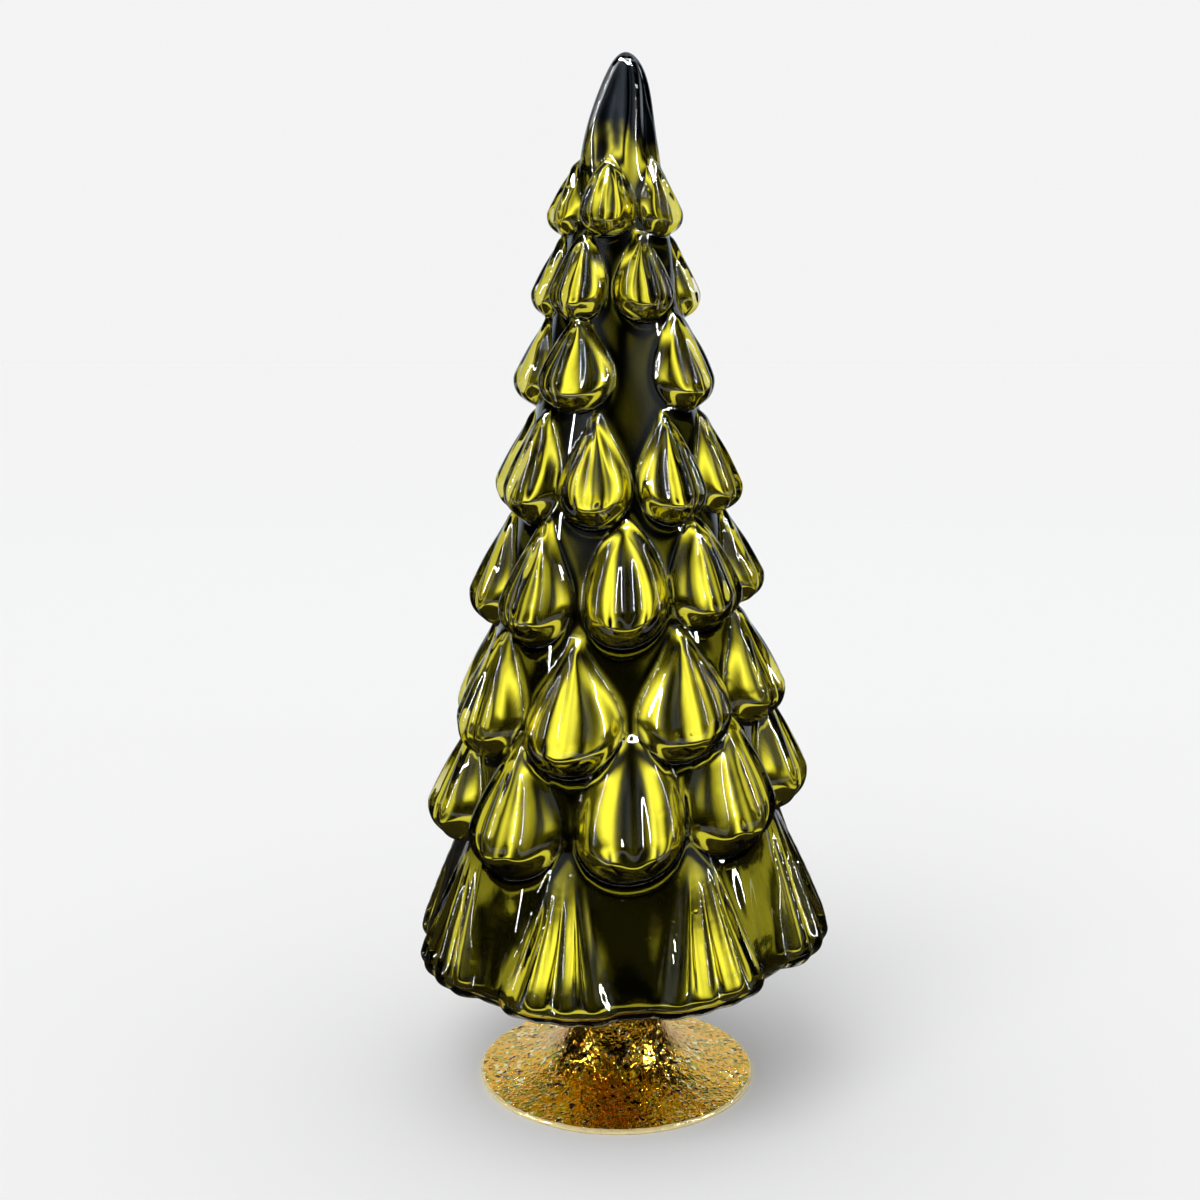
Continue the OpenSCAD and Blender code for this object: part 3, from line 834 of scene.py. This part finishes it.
def set_cement():
    """Matt cement with a fine grain."""
    material, f = new_finish("cement")
    grain = f.noise(f.place(), scale=1400.0, detail=4.0, rough=0.7)
    tone = Vector(settings().finish.cement)
    f.principled(
        Base_Color=f.blend(grain, tuple(tone * 0.75), tuple(tone)),
        Roughness=0.75 + grain * 0.2,
        Normal=f.bump(grain, strength=0.5, distance=0.2 * MM),
    )
    return material


def pressed_cork():
    """Cork of small light and dark grains."""
    material, f = new_finish("cork")
    grains = f.cells(f.place(), scale=900.0)
    shade = f.split(grains.other("Color"))
    tone = Vector(settings().finish.cork)
    f.principled(
        Base_Color=f.blend(shade, tuple(tone * 0.5), tuple(tone)),
        Roughness=0.8 + shade * 0.15,
        Normal=f.bump(grains.other("Distance"), strength=0.6, distance=0.3 * MM),
    )
    return material


# Pieces


class TREE_OT_glass(bpy.types.Operator):
    """Blows the clear glass shell with its boughs, skirt, hem and neck"""

    bl_idname = "glass_tree.glass"
    bl_label = "Glass shell"

    NECK_WALL, NECK_FILLET = 1.4 * MM, 0.3 * MM
    # First row that the inside takes from its soft form, and the rise of its tip over that row
    INNER_FROM, INNER_TIP = 6, 0.4 * MM

    def execute(self, context):
        form = TreeForm(CRISP)
        azimuth = turned(form.glass.columns)
        outer = outside_rings(form, azimuth)
        neck_r = BORE_R + self.NECK_WALL
        neck = tube_rings(
            azimuth,
            [
                (neck_r + self.NECK_FILLET, form.under_z),
                (neck_r, form.under_z - self.NECK_FILLET),
                (neck_r, form.neck_z),
                (BORE_R, form.neck_z),
                (BORE_R, form.under_z + form.glass.wall),
            ],
        )
        base = outside_rings(TreeForm(SOFT), azimuth, TreeForm(PLAIN))
        inner = sunk(base, form.glass.wall)[self.INNER_FROM :]
        rings = np.concatenate([outer, neck, inner[::-1]])
        tip = (form.lean(form.tip_z), 0, form.tip_z)
        piece = lofted("blown_glass", rings, tip, over(inner[0], self.INNER_TIP))
        dressed(piece, clear_glass(), "glass_tree")
        return {"FINISHED"}


class TREE_OT_coat(bpy.types.Operator):
    """Lines the glass with its mirror coat"""

    bl_idname = "glass_tree.coat"
    bl_label = "Mirror coat"

    BACKING = 0.15 * MM
    # First row that the coat takes from its soft form, and the rise of its tip over that row
    COAT_FROM, COAT_TIP = 8, 0.3 * MM
    # Steps that undo the slant of a point
    SLIP_PASSES = 3

    def execute(self, context):
        form = TreeForm(SOFT)
        azimuth = turned(form.glass.columns)
        base = outside_rings(form, azimuth, TreeForm(PLAIN))
        depths = (form.glass.coat_depth, form.glass.coat_depth + self.BACKING)
        face, back = (sunk(base, depth)[self.COAT_FROM :] for depth in depths)
        mouth = tube_rings(azimuth, [(BORE_R, form.under_z + depth) for depth in depths])
        rings = np.concatenate([face, mouth, back[::-1]])
        piece = lofted("mirror_coat", rings, over(face[0], self.COAT_TIP), over(back[0], self.COAT_TIP))
        self.mark(piece, form)
        dressed(piece, mirror_coat(), "mirror_lining")
        return {"FINISHED"}

    def mark(self, piece, form):
        """Writes the painted shade of the rims of the boughs and of the body between them to the points
        of the coat.
        """
        points = np.array([v.co for v in piece.data.vertices])
        azimuth = np.degrees(np.arctan2(points[:, 0] - form.lean(points[:, 2]), -points[:, 1]))
        z = points[:, 2]
        for _ in range(self.SLIP_PASSES):
            z = points[:, 2] - form.slip(azimuth, z)
        rim, between = form.bough_shade(azimuth, z)
        painted(piece, "painted_shade", np.stack([rim, between, np.zeros_like(rim), np.ones_like(rim)], -1))


class TREE_OT_foot(bpy.types.Operator):
    """Turns the trumpet foot and crumples the gold leaf on it"""

    bl_idname = "glass_tree.foot"
    bl_label = "Gilded foot"

    WALL, RIM, FLARE = 1.2 * MM, 0.9 * MM, 0.6 * MM
    STEM_R = 7.0 * MM
    CRUMPLE, CRUMPLE_SEED = 0.02 * MM, 7
    COLUMNS, TOP_ROWS, RIM_ROWS, UNDER_ROWS = 480, 130, 10, 50
    # Angle at which the round rim starts, and rows of the top that it takes the place of
    RIM_FROM, RIM_JOIN = 0.25, 3

    def curve(self, shift, start, end, steps):
        """Radius and height along the trumpet's hyperbola, shifted in and down by a wall."""
        stem_q = FOOT_HIGH.z + self.FLARE
        rim_q = self.RIM + self.FLARE
        centre = (self.STEM_R * stem_q - FOOT_HIGH.x * rim_q) / (stem_q - rim_q)
        reach = (self.STEM_R - centre) * stem_q
        heights = start * (end / start) ** np.linspace(0, 1, steps)
        return [(centre - shift + reach / q, q - self.FLARE - shift) for q in heights]

    def execute(self, context):
        azimuth = turned(self.COLUMNS)
        stem_q = FOOT_HIGH.z + self.FLARE
        top = self.curve(0.0, stem_q, self.RIM + self.FLARE, self.TOP_ROWS)[: -self.RIM_JOIN]
        edge = self.RIM / 2
        rim = [
            (FOOT_HIGH.x - edge + edge * math.sin(a), edge + edge * math.cos(a))
            for a in np.linspace(self.RIM_FROM, math.pi, self.RIM_ROWS)
        ]
        under = self.curve(self.WALL, self.WALL + self.FLARE, stem_q + self.WALL, self.UNDER_ROWS)
        rings = tube_rings(azimuth, top + rim + under)
        rng = np.random.default_rng(self.CRUMPLE_SEED)
        crumple = relaxed(rng.normal(0.0, self.CRUMPLE, rings.shape[:2]), 1)
        crumple[len(top) :] = 0.0
        crumple[0] = 0.0
        rings[..., 2] += crumple
        piece = lofted("gilded_foot_skin", np.concatenate([rings, rings[:1]]))
        dressed(piece, gold_leaf(), "gilded_foot")
        return {"FINISHED"}


class TREE_OT_neck(bpy.types.Operator):
    """Finishes the cement and the plug that close the neck"""

    bl_idname = "glass_tree.neck"
    bl_label = "Cement and plug"

    def execute(self, context):
        for node, material in (("cement_bead", set_cement()), ("neck_plug", pressed_cork())):
            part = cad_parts[node]
            part.data.materials.clear()
            part.data.materials.append(material)
        return {"FINISHED"}


# Studio


def studio_glow(azimuth, lift):
    """Brightness of the studio that the coat sees, and that the outside of the glass and the foot see."""
    side = np.abs(azimuth)
    glow = mix(FRONT_DARK, SIDE_DARK, smooth(*SIDE_FADE, side))
    glow = mix(glow, BACK_WHITE, smooth(*BACK_FADE, side))
    tall = smooth(*WINDOW_SILL, lift) * mix(1.0, WINDOW_TOP, smooth(*TOP_FADE, lift))
    tall = tall * smooth(*WINDOW_HEAD, lift)
    for middle, falloff, bright in WINDOWS:
        glow = np.maximum(glow, bright * np.exp(-(((azimuth - middle) / falloff) ** 2)) * tall)
    outside = glow * mix(OUTSIDE_FRONT, OUTSIDE_BACK, smooth(*OUTSIDE_FADE, side))
    glow = mix(glow, LOW_SIDE, smooth(*LOW_SIDE_FADE, side) * smooth(*LOW_SIDE_TOP, lift))
    fill = mix(FRONT_FILL, SIDE_FILL, smooth(*FILL_FADE, side))
    glow = np.maximum(glow, fill * smooth(*FILL_REACH, np.abs(lift - FILL_LIFT)))
    return np.maximum(glow, CEILING * smooth(*CEILING_FADE, lift)), outside


def sky(azimuth, lift, reach):
    """Points of a dome round the middle of the tree, from azimuths and elevations in degrees."""
    e = np.radians(lift)
    return placed(azimuth, reach * np.cos(e), reach * np.sin(e) + TREE_HIGH.z / 2)


def only_mirrored(card):
    """Hides a card from all but the glass and the metal."""
    card.visible_camera = False
    card.visible_diffuse = False
    card.visible_shadow = False


def dome(name):
    """A dome round the tree that glows as the studio does."""
    azimuth, lift = np.meshgrid(np.arange(-180.0, 180.0), np.arange(DOME_FOOT, 90.0))
    card = lofted(name, sky(azimuth, lift, DOME_REACH), None, (0, 0, DOME_REACH + TREE_HIGH.z / 2))
    colours = np.ones((azimuth.size + 1, 4))
    for channel, glow in enumerate(studio_glow(azimuth, lift)):
        colours[:-1, channel] = glow.ravel()
        colours[-1, channel] = colours[-2, channel]
    painted(card, "glow", colours)
    material, f = new_finish("studio_glow")
    glow = f.paint("glow")
    deep = f.under_glass()
    shade = glow * deep + glow.other("Green") * (1.0 - deep)
    f.surface(f.glow(f.blend(1.0, shade, f.blend(deep, COOL, NEUTRAL), "MULTIPLY")))
    card.data.materials.append(material)
    only_mirrored(card)


def glass_lamp(name, sides, lifts, strength):
    """A bright part of the dome, between two azimuths and two elevations, for the outside of the glass."""
    azimuth, lift = np.meshgrid(np.linspace(*sides, LAMP_STEPS), np.linspace(*lifts, LAMP_STEPS))
    points = sky(azimuth, lift, LAMP_REACH).reshape(-1, 3).tolist()
    corner = np.arange(azimuth.size).reshape(azimuth.shape)
    faces = np.stack([corner[:-1, :-1], corner[:-1, 1:], corner[1:, 1:], corner[1:, :-1]], -1)
    card = linked(name, points, faces.reshape(-1, 4).tolist())
    material, f = new_finish(name)
    light = f.glow((*NEUTRAL, 1.0), strength)
    clear = f.add("ShaderNodeBsdfTransparent")
    f.surface(f.add("ShaderNodeMixShader", {}, {0: f.under_glass(), 1: light, 2: clear}))
    card.data.materials.append(material)
    only_mirrored(card)


def level_card(name, low, high, lift, material):
    """A card that lies level."""
    corners = [(low[0], low[1]), (high[0], low[1]), (high[0], high[1]), (low[0], high[1])]
    card = linked(name, [(x, y, lift) for x, y in corners], [(0, 1, 2, 3)])
    card.data.materials.append(material)
    return card


def white_paper():
    """Plain pale paper of the floor."""
    material, f = new_finish("white_paper")
    white = settings().stage.white
    f.principled(Base_Color=(white, white, white, 1.0), Roughness=0.9, Specular_IOR_Level=0.1)
    return material


def dark_table():
    """Dark even tone of the cards over the floor."""
    material, f = new_finish("dark_table")
    f.surface(f.glow((*TABLE_TONE, 1.0)))
    return material


class TREE_OT_stage(bpy.types.Operator):
    """Sets the white studio, its cards and lamps, and the camera"""

    bl_idname = "glass_tree.stage"
    bl_label = "Studio"

    def execute(self, context):
        stage = context.scene.glass_tree.stage
        level_card("floor", (-FLOOR_REACH, -FLOOR_REACH), (FLOOR_REACH, FLOOR_REACH), 0.0, white_paper())
        self.world(stage)
        self.cards()
        self.sun(stage)
        self.camera(stage)
        context.scene.view_settings.view_transform = "Standard"
        context.scene.cycles.caustics_reflective = False
        context.scene.cycles.caustics_refractive = False
        return {"FINISHED"}

    def world(self, stage):
        """Even light from all round, which shows as the pale background."""
        world = bpy.data.worlds.new("white_studio")
        bpy.context.scene.world = world
        world.use_nodes = True
        f = Finish(world.node_tree)
        path = f.add("ShaderNodeLightPath")
        seen = path.other("Is Camera Ray") + path.other("Is Glossy Ray") + path.other("Is Transmission Ray")
        lit = f.add("ShaderNodeBackground", {}, {"Color": (*NEUTRAL, 1.0), "Strength": stage.ambient})
        pale = (stage.white, stage.white, stage.white, 1.0)
        shown = f.add("ShaderNodeBackground", {}, {"Color": pale, "Strength": 1.0})
        both = f.add("ShaderNodeMixShader", {}, {0: seen, 1: lit, 2: shown})
        f.add("ShaderNodeOutputWorld", {}, {"Surface": both})

    def cards(self):
        """What the glass and the metal mirror in place of a plain white room."""
        dome("studio_dome")
        for name, lamp in LAMPS.items():
            glass_lamp(name, *lamp)
        table = dark_table()
        for name, (low, high) in TABLE_FLAGS.items():
            only_mirrored(level_card(name, low, high, TABLE_LIFT, table))

    def sun(self, stage):
        """A soft sun that gives the floor its shadow."""
        light = bpy.data.lights.new("daylight", "SUN")
        light.energy = stage.sun
        light.angle = stage.sun_spread
        lamp = bpy.data.objects.new("daylight", light)
        lamp.rotation_euler = (stage.sun_forward, stage.sun_aside, 0)
        lamp.visible_glossy = False
        lamp.visible_transmission = False
        bpy.context.scene.collection.objects.link(lamp)

    def camera(self, stage):
        """The camera in front of the tree, looking a little down."""
        data = bpy.data.cameras.new("camera")
        data.sensor_width = stage.sensor
        data.lens = stage.lens
        camera = bpy.data.objects.new("camera", data)
        camera.location = (-stage.aside, -stage.distance, stage.height)
        camera.rotation_euler = (math.pi / 2 - stage.pitch, 0, 0)
        bpy.context.scene.collection.objects.link(camera)
        bpy.context.scene.camera = camera


class TREE_PT_panel(bpy.types.Panel):
    """Lists the tree's settings and pieces"""

    bl_idname = "TREE_PT_panel"
    bl_label = "Glass Tree"
    bl_space_type = "VIEW_3D"
    bl_region_type = "UI"
    bl_category = "Glass Tree"

    def draw(self, context):
        for group in ("glass", "boughs", "finish", "stage"):
            box = self.layout.box()
            box.label(text=group.capitalize())
            part = getattr(context.scene.glass_tree, group)
            for name in part.__annotations__:
                box.prop(part, name)
        for operator in PIECES:
            self.layout.operator(operator.bl_idname)


PIECES = (TREE_OT_glass, TREE_OT_coat, TREE_OT_foot, TREE_OT_neck, TREE_OT_stage)
GROUPS = (GlassSettings, BoughSettings, FinishSettings, StageSettings, TreeSettings)


def register():
    for item in (*GROUPS, *PIECES, TREE_PT_panel):
        bpy.utils.register_class(item)
    bpy.types.Scene.glass_tree = PointerProperty(type=TreeSettings)


def unregister():
    del bpy.types.Scene.glass_tree
    for item in reversed((*GROUPS, *PIECES, TREE_PT_panel)):
        bpy.utils.unregister_class(item)


def main():
    register()
    for piece in ("glass", "coat", "foot", "neck", "stage"):
        getattr(bpy.ops.glass_tree, piece)()


if __name__ == "__main__":
    main()
